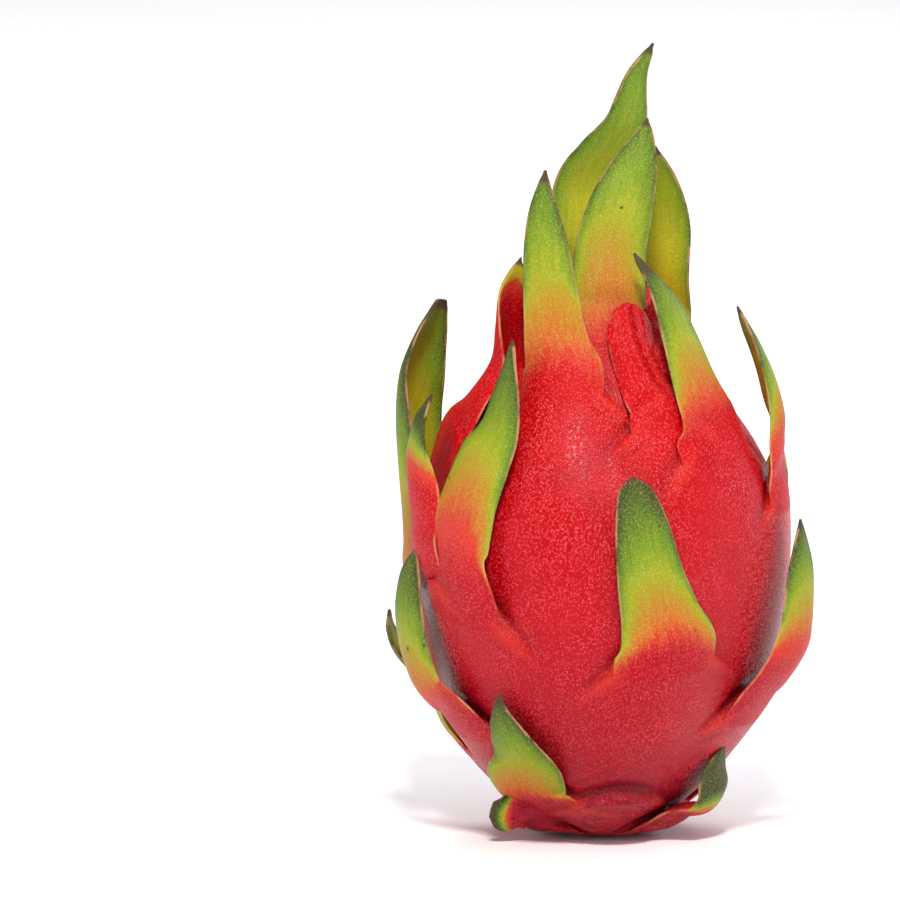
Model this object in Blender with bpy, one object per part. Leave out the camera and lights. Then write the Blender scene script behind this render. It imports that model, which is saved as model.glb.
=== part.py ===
"""A whole dragon fruit, standing on its cut end, with its leafy bracts grown as one with the rind.

Lengths in the tables are in millimetres and angles in degrees. Meshes are made in metres, +Z up.
The origin is the middle of the flat spot that the fruit stands on. The face seen first looks along -Y.
"""
import math
import random
from dataclasses import dataclass

import bpy
import numpy as np

MM = 0.001
SEED = 21

# The rind's outline from the flat spot to the middle of the navel: height, radius
RIND_OUTLINE = (
    (0.0, 8.0), (2.4, 12.4), (9.0, 21.0), (19.0, 30.0), (34.0, 38.8), (50.0, 43.6), (68.0, 45.8),
    (85.0, 44.2), (98.0, 39.0), (110.0, 31.4), (122.0, 24.0), (132.0, 17.4), (138.0, 12.5),
    (140.0, 9.0), (138.0, 6.0), (134.5, 3.0), (134.0, 0.0),
)
OUTLINE_STEP = 0.2
RIND_COLUMNS = 48
RIND_ROWS = 34
FLAT_RADIUS = 8.0
NAVEL_EDGE = 14.0
UNEVENNESS = 0.7

BRACT_ROWS = 9
BRACT_COLUMNS = 6
ROOT_DIP = 0.42
ROOT_REACH = 2.0
CORNER_HEIGHT = 0.55
STEP_BREADTH = 6.0
ROOT_DEPTH = 3.0
ROOT_LIFT = 0.6
ROOT_TAIL = 7.5
LET_GO = 10.5
EDGE_THICKNESS = 1.0

RED = (0.55, 0.02, 0.035, 1.0)
GREEN = (0.20, 0.30, 0.03, 1.0)


@dataclass
class Bract:
    """One leafy bract. Stations are x, y, z and half breadth, from above its root to its tip."""

    azimuth: float
    height: float
    half: float
    stations: tuple
    lean: float = 0.0
    cup: float = 0.5
    twist: float = 0.0
    thick: float = 4.4
    run: float = 17.0


# Bracts seen from the front, each named by its place
SEEN_BRACTS = {
    "crown_back": Bract(-159, 129, 12, (
        (-3.6, 14, 148, 12.8), (-2.8, 13.5, 162.8, 13.6), (1.2, 12, 171.5, 11), (5.5, 9.5, 180, 6.8),
        (7, 8, 186.5, 5), (8.9, 6.5, 193, 3.2), (13, 4, 199.8, 0.6)), cup=0.45),
    "crown_front": Bract(6, 131, 10, (
        (2.3, -15, 148.6, 9.6), (4.7, -12.5, 160, 8.6), (8, -9.5, 169.7, 6.4), (10.2, -7.5, 176.5, 3.4),
        (11.3, -6, 182, 0.6)), cup=0.5),
    "crown_right": Bract(135, 125, 10, (
        (17.2, 15, 141, 10), (17.9, 13, 154.6, 8.4), (16.6, 10, 165.5, 5.2), (13.9, 7, 173.6, 0.6)),
        cup=0.6),
    "crown_left": Bract(-80, 101, 15, (
        (-34, -8, 112, 13), (-27.6, -7, 121, 11), (-25.4, -6.5, 129.5, 9.6), (-23.4, -5.5, 138, 6.8),
        (-20.3, -4.5, 146.8, 0.6)), cup=1.1, twist=58),
    "tall_left": Bract(-20, 118, 10.4, (
        (-11.8, -26, 128, 8.5), (-13.3, -24.5, 140, 7.4), (-14.2, -23.5, 150, 6.3), (-14.8, -22, 160, 4.1),
        (-14.5, -20, 170.4, 0.6)), cup=0.45),
    "tall_right": Bract(46, 103, 13, (
        (27.4, -28.5, 111, 10.6), (24.6, -28, 118, 9.2), (20.6, -27, 129, 6.8), (15.6, -25.5, 140, 4.4),
        (8.2, -22, 150, 0.6)), lean=-8, cup=0.45),
    "stub_front": Bract(25, 108, 8.5, (
        (11.8, -29, 118, 8), (8.4, -26, 127, 7.2), (7.4, -23, 132.5, 6.2), (7.2, -21.4, 135.6, 4.6),
        (7.2, -20.6, 137.2, 2.6)), cup=1.0, thick=6),
    "hidden_right": Bract(40, 121, 8, (
        (14, -16.5, 130, 6), (14.5, -15.5, 135, 4), (14, -14.5, 139, 0.6)), cup=0.6),
    "hook_right": Bract(82, 89, 11, (
        (46, -8, 101, 9.6), (46, -8.5, 108, 8.8), (43.8, -8.5, 116.5, 7.6), (40.2, -8, 124.5, 5.6),
        (37, -7, 130, 3.4), (34.3, -6, 134.6, 0.6)), cup=1.1, twist=-28, thick=3.4),
    "far_left": Bract(-98, 64, 13, (
        (-49.8, 8, 79, 13), (-50.6, 8.5, 92, 13.4), (-50.8, 9, 103, 13.6), (-50, 9, 112, 13),
        (-47.8, 9, 120.5, 10.8), (-44.4, 8, 128.5, 7.6), (-41, 6.5, 135, 4)),
        cup=1.4, twist=34),
    "small_left": Bract(-69, 72, 11.5, (
        (-47, -17, 82, 11.6), (-48, -17.5, 91, 11.2), (-48.2, -18, 97, 9.4), (-47.8, -18.5, 102.5, 6.4),
        (-46.4, -18.5, 108, 4.4), (-42.8, -18, 114, 0.6)), cup=0.8),
    "long_left": Bract(-47, 66, 13.5, (
        (-37.8, -33.5, 77, 12.4), (-35.6, -34.5, 89, 11.6), (-31, -34, 101, 10.4), (-27.6, -32.5, 107.5, 9),
        (-25.4, -30.5, 115, 6.6), (-23.8, -29, 122.5, 3.4), (-22.7, -28, 128.8, 0.6)),
        lean=12, cup=0.5),
    "middle_right": Bract(20, 54, 13.5, (
        (14.6, -47, 62.3, 10.6), (12.6, -48.5, 71, 9.4), (10.6, -49.2, 82, 8), (8.8, -48.6, 90, 6),
        (7.4, -47.8, 94.6, 4), (6.8, -47.3, 96.8, 1.4)), lean=-6, cup=0.45),
    "low_right": Bract(67, 37, 11, (
        (48.6, -17, 46, 11.4), (51.2, -18, 54, 10), (51.8, -18, 62, 8.8), (51.6, -17.5, 70.5, 6.8),
        (50.8, -16.5, 77, 3.8), (50.1, -15.5, 82, 0.6)), cup=0.7),
    "low_left": Bract(-61, 34, 11, (
        (-44.6, -19.5, 38.5, 10.5), (-48, -19.5, 45, 10), (-50, -19.5, 53, 9.2), (-50.4, -19, 61.3, 8),
        (-49.2, -18, 68, 5.6), (-46.6, -17, 75.2, 0.6)), cup=0.7),
    "low_far_left": Bract(-102, 26, 10, (
        (-44, 9, 34.8, 8), (-51.5, 10.5, 43.6, 7), (-54, 11, 50, 5), (-53.7, 11, 55, 1.4)),
        cup=0.6),
    "foot_front": Bract(-40, 14, 11.5, (
        (-20, -30.5, 20.7, 9.8), (-22.8, -34, 27.5, 7.6), (-24.8, -36, 32.8, 5.2),
        (-25.8, -37, 37.3, 2.4), (-25.6, -37, 41.2, 0.5)), lean=-14, cup=0.4),
    "foot_left": Bract(-54, 5, 9, (
        (-15.5, -17, 6.4, 7.4), (-20, -19, 7.2, 6.8), (-24.6, -19.5, 7.9, 5.6), (-27.6, -19.5, 8.8, 2.8)),
        cup=0.9, twist=-72),
    "foot_right": Bract(60, 6, 10, (
        (20.5, -12, 5.5, 8.8), (26.4, -14.6, 7.2, 7.8), (29.2, -16.2, 11.6, 7), (29.6, -16.7, 18, 6),
        (30.8, -17, 25, 1)), cup=0.5),
}

# Swollen roots whose blades are gone
BARE_ROOTS = (
    Bract(9, 15, 11, (), thick=3.4, run=9),
)

# Rings of bracts round the back: root height, length, half breadth, azimuths
BACK_RINGS = (
    (110, 34, 10.5, (-142, 168, 140)),
    (80, 38, 11.5, (-150, 178, 148)),
    (60, 38, 11.5, (-136, 122, 164)),
    (38, 35, 11.0, (-146, 154, 124)),
    (15, 30, 10.0, (-128, -172, 152, 126)),
)
BACK_OPENING = 13.0
BACK_CURL = 22.0


def curve_through(points, steps):
    """A smooth Catmull-Rom curve through the points, with the given steps between each two."""
    middle = np.array(points, float)
    ends = (2 * middle[0] - middle[1], 2 * middle[-1] - middle[-2])
    p = np.vstack([ends[0], middle, ends[1]])
    a, b, c, d = p[:-3, None], p[1:-2, None], p[2:-1, None], p[3:, None]
    t = np.linspace(0, 1, steps, endpoint=False)[:, None]
    curve = b + 0.5 * ((c - a) * t + (2 * a - 5 * b + 4 * c - d) * t ** 2 + (3 * b - a - 3 * c + d) * t ** 3)
    return np.vstack([curve.reshape(-1, middle.shape[1]), middle[-1]])


def smooth_step(x):
    """0 below 0, 1 above 1, and an S between."""
    x = np.clip(x, 0, 1)
    return x * x * (3 - 2 * x)


def unit(vectors):
    return vectors / np.linalg.norm(vectors, axis=-1, keepdims=True)


class Outline:
    """The rind's outline by the length along it from the middle of the flat spot."""

    def __init__(self, points):
        height, radius = curve_through(points, 24).T
        height = np.concatenate([[0.0], height])
        radius = np.concatenate([[0.0], np.maximum(radius, 0)])
        length = np.concatenate([[0.0], np.cumsum(np.hypot(np.diff(height), np.diff(radius)))])
        self.end = length[-1]
        self.length = np.arange(0, self.end, OUTLINE_STEP)
        self.radius = np.interp(self.length, length, radius)
        self.height = np.interp(self.length, length, height)
        slope = np.stack([np.gradient(self.radius), np.gradient(self.height)])
        blur = np.ones(21) / 21
        slope = np.stack([np.convolve(np.pad(row, 10, "edge"), blur, "valid") for row in slope])
        self.along = slope / np.hypot(*slope)

    def at(self, length):
        """Radius, height, and the outward normal as its radial and upward parts."""
        parts = (self.radius, self.height, self.along[1], -self.along[0])
        return [np.interp(length, self.length, part) for part in parts]

    def length_at_height(self, height):
        top = int(np.argmax(self.height))
        return float(np.interp(height, self.height[:top], self.length[:top]))


OUTLINE = Outline(RIND_OUTLINE)


def root_coordinates(bract, angle, length):
    """Where a point of the rind lies from a bract's root: across it to the right, and up along it."""
    radius = OUTLINE.at(length)[0]
    turn = (angle - math.radians(bract.azimuth) + math.pi) % (2 * math.pi) - math.pi
    right = radius * turn
    up = length - OUTLINE.length_at_height(bract.height)
    cos, sin = math.cos(math.radians(bract.lean)), math.sin(math.radians(bract.lean))
    return right * cos - up * sin, right * sin + up * cos


def root_line(bract, across):
    """How far the line that the bract grows from hangs below its middle."""
    return -ROOT_DIP * bract.half * np.minimum(np.abs(across) / bract.half, 2.2) ** 1.6


def swelling(bract, angle, length, own):
    """The rind's rise towards a bract's root, which ends in a step there unless own is set."""
    across, up = root_coordinates(bract, angle, length)
    below = root_line(bract, across) - up
    share = np.abs(across) / bract.half
    middle = 1 - (1 - CORNER_HEIGHT) * np.minimum(share, 1) ** 2
    ridge = CORNER_HEIGHT * np.clip((ROOT_REACH - share) / (ROOT_REACH - 1), 0, 1) ** 1.5
    crest = bract.thick * np.where(share < 1, middle, ridge)
    rise = np.exp(-np.maximum(below, 0) / bract.run)
    above = 1 + np.clip(-below, 0, 12) / bract.run if own else 1 - smooth_step(-below / STEP_BREADTH)
    return crest * np.where(below > 0, rise, above)


def rind_points(bracts, angle, length, own=None):
    """Points of the rind's outer surface. The bract given as own leaves no step at its root."""
    radius, height, outward, upward = OUTLINE.at(length)
    total = sum(swelling(bract, angle, length, bract is own) ** 4 for bract in bracts)
    uneven = np.sin(3 * angle + 0.6 + length / 40) + 0.7 * np.sin(5 * angle + 2.1 - length / 33)
    fade = smooth_step((length - FLAT_RADIUS) / 10) * smooth_step((OUTLINE.end - NAVEL_EDGE - length) / 12)
    lift = (total ** 0.25 + UNEVENNESS * uneven) * fade
    out = radius + outward * lift
    return np.stack([out * np.sin(angle), -out * np.cos(angle), height + upward * lift], -1)


def patch_points(bracts, bract, across, up):
    """Points of the rind at places given from a bract's root."""
    cos, sin = math.cos(math.radians(bract.lean)), math.sin(math.radians(bract.lean))
    length = OUTLINE.length_at_height(bract.height) + up * cos - across * sin
    length = np.clip(length, 0.5, OUTLINE.end - 0.5)
    radius = np.maximum(OUTLINE.at(length)[0], 2.0)
    angle = math.radians(bract.azimuth) + (across * cos + up * sin) / radius
    return rind_points(bracts, angle, length, own=bract)


def root_frame(bracts, bract):
    """The middle of the root, and the directions up along the rind, across it and out of it."""
    places = np.array([[0.0, 0.0], [0.0, 0.5], [0.0, -0.5], [0.5, 0.0], [-0.5, 0.0]])
    middle, above, below, right, left = patch_points(bracts, bract, places[:, 0], places[:, 1])
    along = unit(above - below)
    across = right - left
    across = unit(across - along * (across @ along))
    return middle, along, across, np.cross(across, along)


def bract_faces(bracts, bract):
    """The outer face of a bract as rows of points from its sunk root to its tip, and its thickness."""
    middle, along, across, out = root_frame(bracts, bract)
    before = patch_points(bracts, bract, np.array([0.0]), np.array([-12.0]))[0]
    stations = [(*before, bract.half), (*middle, bract.half), *bract.stations]
    curve = curve_through(stations, 24)[24:]
    travelled = np.linalg.norm(np.diff(curve[:, :3], axis=0), axis=1)
    travelled = np.concatenate([[0.0], np.cumsum(travelled)])
    tip = travelled[-1]

    start = -(ROOT_DIP * bract.half + ROOT_TAIL)
    s = np.linspace(start, tip, BRACT_ROWS)
    free = np.clip(s, 0, None)
    line = np.stack([np.interp(free, travelled, curve[:, i]) for i in range(3)], -1)
    line += np.minimum(s, 0)[:, None] * along
    half = np.interp(free, travelled, curve[:, 3])

    heading = unit(np.gradient(line, axis=0))
    facing = unit(out - (heading @ out)[:, None] * heading)
    side = np.cross(heading, facing)
    turn = np.radians(bract.twist) * smooth_step(free / tip)[:, None]
    side, facing = np.cos(turn) * side + np.sin(turn) * facing, np.cos(turn) * facing - np.sin(turn) * side

    quarter = np.linspace(-math.pi / 2, math.pi / 2, BRACT_COLUMNS)
    t = 0.6 * np.sin(quarter) + 0.4 * quarter / (math.pi / 2)
    round_rind = np.clip(half / max(float(OUTLINE.at(OUTLINE.length_at_height(bract.height))[0]), 12), 0, 0.8)
    bent = smooth_step(free / (0.5 * tip))
    cup = (round_rind * (1 - bent) + bract.cup * bent * (1 - 0.75 * (free / tip) ** 3))[:, None]
    reach = (half[:, None] / cup)[..., None]
    loose = line[:, None] + reach * np.sin(cup * t)[..., None] * side[:, None]
    loose = loose - reach * (1 - np.cos(cup * t))[..., None] * facing[:, None]

    offset = half[:, None] * t
    level = np.broadcast_to(s[:, None], offset.shape)
    held = patch_points(bracts, bract, offset, level)
    let_go = smooth_step((level - root_line(bract, offset)) / LET_GO)[..., None]
    points = held * (1 - let_go) + loose * let_go

    normal = unit(np.cross(np.gradient(points, axis=1), np.gradient(points, axis=0)))
    sunk = 1 - smooth_step((s - start) / ROOT_TAIL)
    lift = ROOT_LIFT * (1 - smooth_step(s / LET_GO)) - (ROOT_LIFT + ROOT_DEPTH) * sunk
    points = points + normal * lift[:, None, None]
    fullness = (1 - t ** 2) * (1 - free / tip)[:, None] ** 0.8
    return points, normal, EDGE_THICKNESS + (bract.thick - EDGE_THICKNESS) * fullness


def tube_faces(rows, columns):
    """Faces round a tube of rings, with a fan onto one more point at each end."""
    first, last = rows * columns, rows * columns + 1
    end = (rows - 1) * columns
    faces = []
    for j in range(columns):
        k = (j + 1) % columns
        faces.append((first, k, j))
        faces.append((last, end + j, end + k))
        faces += [(r + j, r + k, r + columns + k, r + columns + j) for r in range(0, end, columns)]
    return faces


def make_object(name, points, faces, material):
    """An object from points in millimetres."""
    mesh = bpy.data.meshes.new(name)
    mesh.from_pydata((np.array(points) * MM).tolist(), [], faces)
    mesh.materials.append(material)
    mesh.update()
    thing = bpy.data.objects.new(name, mesh)
    bpy.context.scene.collection.objects.link(thing)
    return thing


def make_material(name, colour, roughness):
    material = bpy.data.materials.new(name)
    material.use_nodes = True
    shader = material.node_tree.nodes["Principled BSDF"]
    shader.inputs["Base Color"].default_value = colour
    shader.inputs["Roughness"].default_value = roughness
    return material


def make_rind(bracts, material):
    """The round body: rings of points from the flat spot up to the navel."""
    angle = np.linspace(-math.pi, math.pi, RIND_COLUMNS, endpoint=False)
    length = np.linspace(FLAT_RADIUS, OUTLINE.end, RIND_ROWS + 1)[:-1, None]
    rings = rind_points(bracts, angle[None], length)
    navel = (0.0, 0.0, OUTLINE.height[-1])
    points = np.vstack([rings.reshape(-1, 3), (0.0, 0.0, 0.0), navel])
    return make_object("dragon_fruit", points, tube_faces(RIND_ROWS, RIND_COLUMNS), material)


def make_bract(bracts, bract, name, material):
    """A bract as a closed leaf, thick in its middle and thin at its margins."""
    outer, normal, thickness = bract_faces(bracts, bract)
    inner = outer - normal * thickness[..., None]
    rings = np.concatenate([outer, inner[:, -2:0:-1]], axis=1)
    ends = (rings[0].mean(0), rings[-1].mean(0) + 0.4 * unit(rings[-1].mean(0) - rings[-2].mean(0)))
    points = np.vstack([rings.reshape(-1, 3), *ends])
    return make_object(name, points, tube_faces(*rings.shape[:2]), material)


def back_bract(azimuth, height, length, half):
    """A bract that follows the rind up from its root, opens a little and curls in towards its tip."""
    radius, _, outward, upward = OUTLINE.at(OUTLINE.length_at_height(height))
    start = math.atan2(outward, -upward)
    angle = math.radians(azimuth)
    shares = np.array([0.25, 0.5, 0.75, 1.0])
    breadths = half * np.array([0.86, 0.72, 0.46, 0.06])
    x = (np.arange(40) + 0.5) / 40
    tilt = start - math.radians(BACK_OPENING) * smooth_step(x / 0.35) + math.radians(BACK_CURL) * x ** 1.4
    out = radius + 3 + np.cumsum(np.cos(tilt)) * length / 40
    up = height + np.cumsum(np.sin(tilt)) * length / 40
    stations = []
    for share, breadth in zip(shares, breadths):
        i = int(share * 40) - 1
        stations.append((out[i] * math.sin(angle), -out[i] * math.cos(angle), up[i], breadth))
    return Bract(azimuth, height, half, tuple(stations))


def all_bracts():
    """The bracts seen from the front, and the rings of the back with a little chance in each."""
    bracts = dict(SEEN_BRACTS)
    chance = random.Random(SEED)
    for height, length, half, azimuths in BACK_RINGS:
        for azimuth in azimuths:
            bract = back_bract(
                azimuth + chance.uniform(-4, 4), height + chance.uniform(-4, 4),
                length * chance.uniform(0.88, 1.12), half * chance.uniform(0.92, 1.08))
            bracts[f"back_{len(bracts)}"] = bract
    return bracts


def join_as_one(body, pieces):
    """One union of the body with all the pieces, which are then removed."""
    group = bpy.data.collections.new("bracts")
    for piece in pieces:
        group.objects.link(piece)
    union = body.modifiers.new("union", "BOOLEAN")
    union.operation = "UNION"
    union.operand_type = "COLLECTION"
    union.collection = group
    union.solver = "EXACT"
    bpy.context.view_layer.objects.active = body
    bpy.ops.object.modifier_apply(modifier=union.name)
    for piece in pieces:
        bpy.data.objects.remove(piece)
    bpy.data.collections.remove(group)


def main():
    for thing in list(bpy.data.objects):
        bpy.data.objects.remove(thing)
    red = make_material("rind_red", RED, 0.45)
    green = make_material("bract_green", GREEN, 0.5)
    named = all_bracts()
    bracts = [*named.values(), *BARE_ROOTS]
    body = make_rind(bracts, red)
    leaves = [make_bract(bracts, bract, name, green) for name, bract in named.items()]
    join_as_one(body, leaves)
    body.data.shade_smooth()
    body.data.set_sharp_from_angle(angle=math.radians(40))
    print(len(named), "bracts", len(body.data.polygons), "faces")


main()
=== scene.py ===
"""A whole dragon fruit: rind, leafy bracts, cut stem end and navel, on a pale backdrop.

Lengths in the tables are in millimetres and angles in degrees. Meshes are made in metres, +Z up.
The fruit stands on the origin and the side seen first faces -Y.
"""

import math
import random
from dataclasses import dataclass

import bpy
import numpy as np
from mathutils import Matrix


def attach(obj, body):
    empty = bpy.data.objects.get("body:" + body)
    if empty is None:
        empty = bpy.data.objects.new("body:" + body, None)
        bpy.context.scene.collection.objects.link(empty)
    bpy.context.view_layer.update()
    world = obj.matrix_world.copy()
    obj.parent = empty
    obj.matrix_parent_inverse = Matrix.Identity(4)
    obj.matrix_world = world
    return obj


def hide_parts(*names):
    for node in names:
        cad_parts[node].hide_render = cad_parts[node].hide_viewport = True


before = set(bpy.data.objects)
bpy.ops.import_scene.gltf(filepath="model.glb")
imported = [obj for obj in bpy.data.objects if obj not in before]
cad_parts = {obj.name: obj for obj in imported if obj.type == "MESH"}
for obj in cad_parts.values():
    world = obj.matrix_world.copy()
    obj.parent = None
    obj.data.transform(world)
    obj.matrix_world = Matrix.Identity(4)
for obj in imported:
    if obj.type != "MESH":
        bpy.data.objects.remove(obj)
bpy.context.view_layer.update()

MM = 0.001
SEED = 21
FRUIT_NODE = "dragon_fruit"

# The rind's outline from the flat spot to the middle of the navel: height, radius
RIND_OUTLINE = (
    (0.0, 8.0), (2.4, 12.4), (9.0, 21.0), (19.0, 30.0), (34.0, 38.8), (50.0, 43.6), (68.0, 45.8),
    (85.0, 44.2), (98.0, 39.0), (110.0, 31.4), (122.0, 24.0), (132.0, 17.4), (138.0, 12.5),
    (140.0, 9.0), (138.0, 6.0), (134.5, 3.0), (134.0, 0.0),
)

# The rind: how its outline is sampled, where its swellings fade out, and where its stains lie
OUTLINE_STEP = 0.2
SLOPE_BLUR = 10
FLAT_RADIUS = 8.0
FLAT_FADE = 10.0
NAVEL_EDGE = 14.0
NAVEL_FADE = 12.0
UNEVENNESS = 0.7
STEM_RADIUS = 7.0
SCAR_REACH = 15.0
STAIN_BORDER = 5.0
RIND_COLUMNS = 400
RIND_ROWS = 240

# A bract's root on the rind: its line, the crest along it, the step and groove above, the wrinkles below
ROOT_DIP = 0.42
ROOT_POWER = 1.6
ROOT_END = 2.2
ROOT_REACH = 2.0
CORNER_HEIGHT = 0.55
CREST_BREADTH = 1.6
STEP_BREADTH = 2.0
GROOVE_DEPTH = 1.0
GROOVE_GAP = 0.8
GROOVE_BREADTH = 2.2
WRINKLE_HEIGHT = 0.2
WRINKLE_PLACE = 3.6
WRINKLE_BREADTH = 2.2

# A bract's own surface, from the tail of its root to its tip
ROOT_TAIL = 6.0
ROOT_APPROACH = 12.0
LET_GO = 10.5
PATCH_LIFT = 0.05
PATCH_DEPTH = 0.4
EDGE_THICKNESS = 0.8
MARGIN_BREADTH = 0.5
MARGIN_WAVE = 0.35
WAVE_LENGTH = 5.5
WAVE_PHASES = 6.28
TIP_LENGTH = 2.5
TIP_NARROWING = 0.55
TIP_POINT = 0.3
CURVE_STEPS = 24
BRACT_ROWS = 76
BRACT_COLUMNS = 33


@dataclass
class Bract:
    """One leafy bract. Stations are x, y, z and half breadth, from above its root to its tip.

    red is the share of its blade, from the root, that has kept the rind's red; speed is how soon it
    turns green above that; edge is the share of its margins that isn't greener than its middle; dry
    is the length of its dried tip; and folds is the height of the folds along its outer face.
    """

    azimuth: float
    height: float
    half: float
    stations: tuple
    lean: float = 0.0
    cup: float = 0.5
    twist: float = 0.0
    thick: float = 4.4
    run: float = 17.0
    red: float = 0.2
    speed: float = 1.0
    edge: float = 0.0
    dry: float = 2.0
    folds: float = 0.0


# Bracts seen from the front, each named by its place
SEEN_BRACTS = {
    "crown_back": Bract(-159, 129, 12, (
        (-3.6, 14, 148, 12.8), (-2.8, 13.5, 162.8, 13.6), (1.2, 12, 171.5, 11), (5.5, 9.5, 180, 6.8),
        (7, 8, 186.5, 5), (8.9, 6.5, 193, 3.2), (13, 4, 199.8, 0.6)), cup=0.45, red=-0.5, dry=2.5),
    "crown_front": Bract(6, 131, 10, (
        (2.3, -15, 148.6, 9.6), (4.7, -12.5, 160, 8.6), (8, -9.5, 169.7, 6.4), (10.2, -7.5, 176.5, 3.4),
        (11.3, -6, 182, 0.6)), cup=0.5, red=-0.02, speed=0.78),
    "crown_right": Bract(135, 125, 10, (
        (17.2, 15, 141, 10), (17.9, 13, 154.6, 8.4), (16.6, 10, 165.5, 5.2), (13.9, 7, 173.6, 0.6)),
        cup=0.6, red=-0.4, speed=0.9),
    "crown_left": Bract(-80, 101, 15, (
        (-34, -8, 112, 13), (-27.6, -7, 121, 11), (-25.4, -6.5, 129.5, 9.6), (-23.4, -5.5, 138, 6.8),
        (-20.3, -4.5, 146.8, 0.6)), cup=1.1, twist=58, red=0.85, speed=2.5),
    "tall_left": Bract(-20, 118, 10.4, (
        (-11.8, -26, 128, 8.5), (-13.3, -24.5, 140, 7.4), (-14.2, -23.5, 150, 6.3), (-14.8, -22, 160, 4.1),
        (-14.5, -20, 170.4, 0.6)), cup=0.45, red=0.1, speed=0.85, edge=0.3, dry=3.0),
    "tall_right": Bract(46, 103, 13, (
        (27.4, -28.5, 111, 10.6), (24.6, -28, 118, 9.2), (20.6, -27, 129, 6.8), (15.6, -25.5, 140, 4.4),
        (8.2, -22, 150, 0.6)), lean=-8, cup=0.45, red=0.2, edge=0.2, dry=7.0),
    "stub_front": Bract(25, 108, 8.5, (
        (11.8, -29, 118, 8), (8.4, -26, 127, 7.2), (7.4, -23, 132.5, 6.2), (7.2, -21.4, 135.6, 4.6),
        (7.2, -20.6, 137.2, 2.6)), cup=1.0, thick=6, red=3.0, dry=0.0, folds=0.5),
    "hidden_right": Bract(40, 121, 8, (
        (14, -16.5, 130, 6), (14.5, -15.5, 135, 4), (14, -14.5, 139, 0.6)), cup=0.6, red=2.0),
    "hook_right": Bract(82, 89, 11, (
        (46, -8, 101, 9.6), (46, -8.5, 108, 8.8), (43.8, -8.5, 116.5, 7.6), (40.2, -8, 124.5, 5.6),
        (37, -7, 130, 3.4), (34.3, -6, 134.6, 0.6)), cup=1.1, twist=-28, thick=3.4, red=0.33, edge=0.3),
    "far_left": Bract(-98, 64, 13, (
        (-49.8, 8, 79, 13), (-50.6, 8.5, 92, 13.4), (-50.8, 9, 103, 13.6), (-50, 9, 112, 13),
        (-47.8, 9, 120.5, 10.8), (-44.4, 8, 128.5, 7.6), (-41, 6.5, 135, 4)),
        cup=1.4, twist=34, red=0.02, edge=0.3, dry=2.5),
    "small_left": Bract(-69, 72, 11.5, (
        (-47, -17, 82, 11.6), (-48, -17.5, 91, 11.2), (-48.2, -18, 97, 9.4), (-47.8, -18.5, 102.5, 6.4),
        (-46.4, -18.5, 108, 4.4), (-42.8, -18, 114, 0.6)), cup=0.8, red=0.6, speed=1.8, edge=0.6),
    "long_left": Bract(-47, 66, 13.5, (
        (-37.8, -33.5, 77, 12.4), (-35.6, -34.5, 89, 11.6), (-31, -34, 101, 10.4), (-27.6, -32.5, 107.5, 9),
        (-25.4, -30.5, 115, 6.6), (-23.8, -29, 122.5, 3.4), (-22.7, -28, 128.8, 0.6)),
        lean=12, cup=0.5, red=0.32, dry=1.5),
    "middle_right": Bract(20, 54, 13.5, (
        (14.6, -47, 62.3, 10.6), (12.6, -48.5, 71, 9.4), (10.6, -49.2, 82, 8), (8.8, -48.6, 90, 6),
        (7.4, -47.8, 94.6, 4), (6.8, -47.3, 96.8, 1.4)), lean=-6, cup=0.45, red=0.1, dry=0.6),
    "low_right": Bract(67, 37, 11, (
        (48.6, -17, 46, 11.4), (51.2, -18, 54, 10), (51.8, -18, 62, 8.8), (51.6, -17.5, 70.5, 6.8),
        (50.8, -16.5, 77, 3.8), (50.1, -15.5, 82, 0.6)), cup=0.7, red=0.42, edge=0.4, dry=2.5),
    "low_left": Bract(-61, 34, 11, (
        (-44.6, -19.5, 38.5, 10.5), (-48, -19.5, 45, 10), (-50, -19.5, 53, 9.2), (-50.4, -19, 61.3, 8),
        (-49.2, -18, 68, 5.6), (-46.6, -17, 75.2, 0.6)), cup=0.7, red=0.2, edge=0.3, dry=1.0),
    "low_far_left": Bract(-102, 26, 10, (
        (-44, 9, 34.8, 8), (-51.5, 10.5, 43.6, 7), (-54, 11, 50, 5), (-53.7, 11, 55, 1.4)),
        cup=0.6, red=0.05, dry=1.5),
    "foot_front": Bract(-40, 14, 11.5, (
        (-20, -30.5, 20.7, 9.8), (-22.8, -34, 27.5, 7.6), (-24.8, -36, 32.8, 5.2),
        (-25.8, -37, 37.3, 2.4), (-25.6, -37, 41.2, 0.5)), lean=-14, cup=0.4, red=0.1, dry=3.5),
    "foot_left": Bract(-54, 5, 9, (
        (-15.5, -17, 6.4, 7.4), (-20, -19, 7.2, 6.8), (-24.6, -19.5, 7.9, 5.6), (-27.6, -19.5, 8.8, 2.8)),
        cup=0.9, twist=-72, red=0.8, speed=3.0, edge=0.6, dry=1.2),
    "foot_right": Bract(60, 6, 10, (
        (20.5, -12, 5.5, 8.8), (26.4, -14.6, 7.2, 7.8), (29.2, -16.2, 11.6, 7), (29.6, -16.7, 18, 6),
        (30.8, -17, 25, 1)), cup=0.5, red=0.42, speed=3.0, edge=0.5),
}

# Swollen roots whose blades are gone
BARE_ROOTS = (
    Bract(9, 15, 11, (), thick=3.4, run=9),
)

# Rings of bracts round the back: root height, length, half breadth, azimuths
BACK_RINGS = (
    (110, 34, 10.5, (-142, 168, 140)),
    (80, 38, 11.5, (-150, 178, 148)),
    (60, 38, 11.5, (-136, 122, 164)),
    (38, 35, 11.0, (-146, 154, 124)),
    (15, 30, 10.0, (-128, -172, 152, 126)),
)
BACK_OPENING = 13.0
BACK_CURL = 22.0
BACK_LIFT = 3.0
BACK_STEPS = 40


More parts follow.
